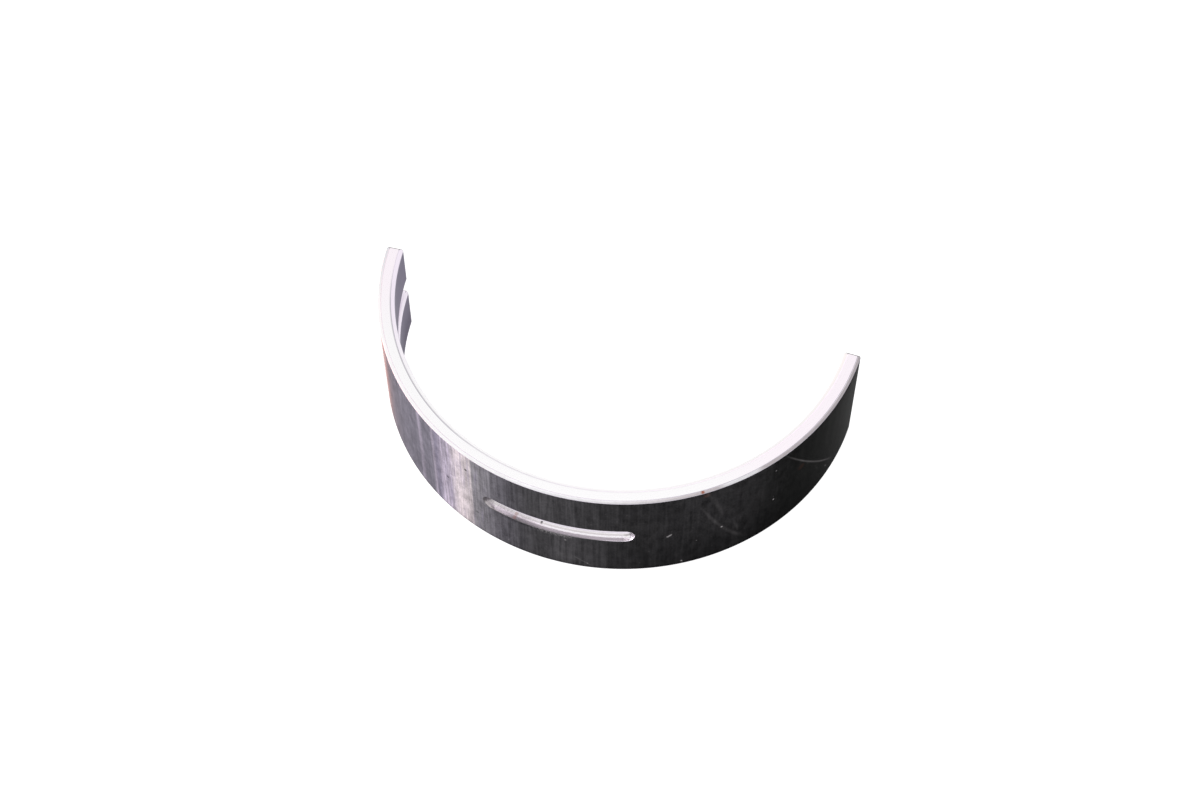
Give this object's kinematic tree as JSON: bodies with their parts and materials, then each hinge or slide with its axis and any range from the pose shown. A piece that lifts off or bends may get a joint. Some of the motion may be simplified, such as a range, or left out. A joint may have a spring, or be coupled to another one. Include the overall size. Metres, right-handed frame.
{
  "type": "engine bearing shell",
  "caption": "Thin half-round plain bearing shell with an oil groove round the bore and a long oil slot through the crown; lines the upper half of an engine main bearing.",
  "frame": {"origin": "on the bearing axis, at mid-width", "axes": "+Z along the bearing axis, which is upright; the crown of the arc points to -Y and the parting faces look to +Y"},
  "size_m": [0.072, 0.0345, 0.019],
  "materials": {
    "shell": "dark steel back brushed along the axis, bright machined side faces, grey bore"
  },
  "bodies": {
    "root": {"bearing_shell": "shell"}
  },
  "joints": []
}
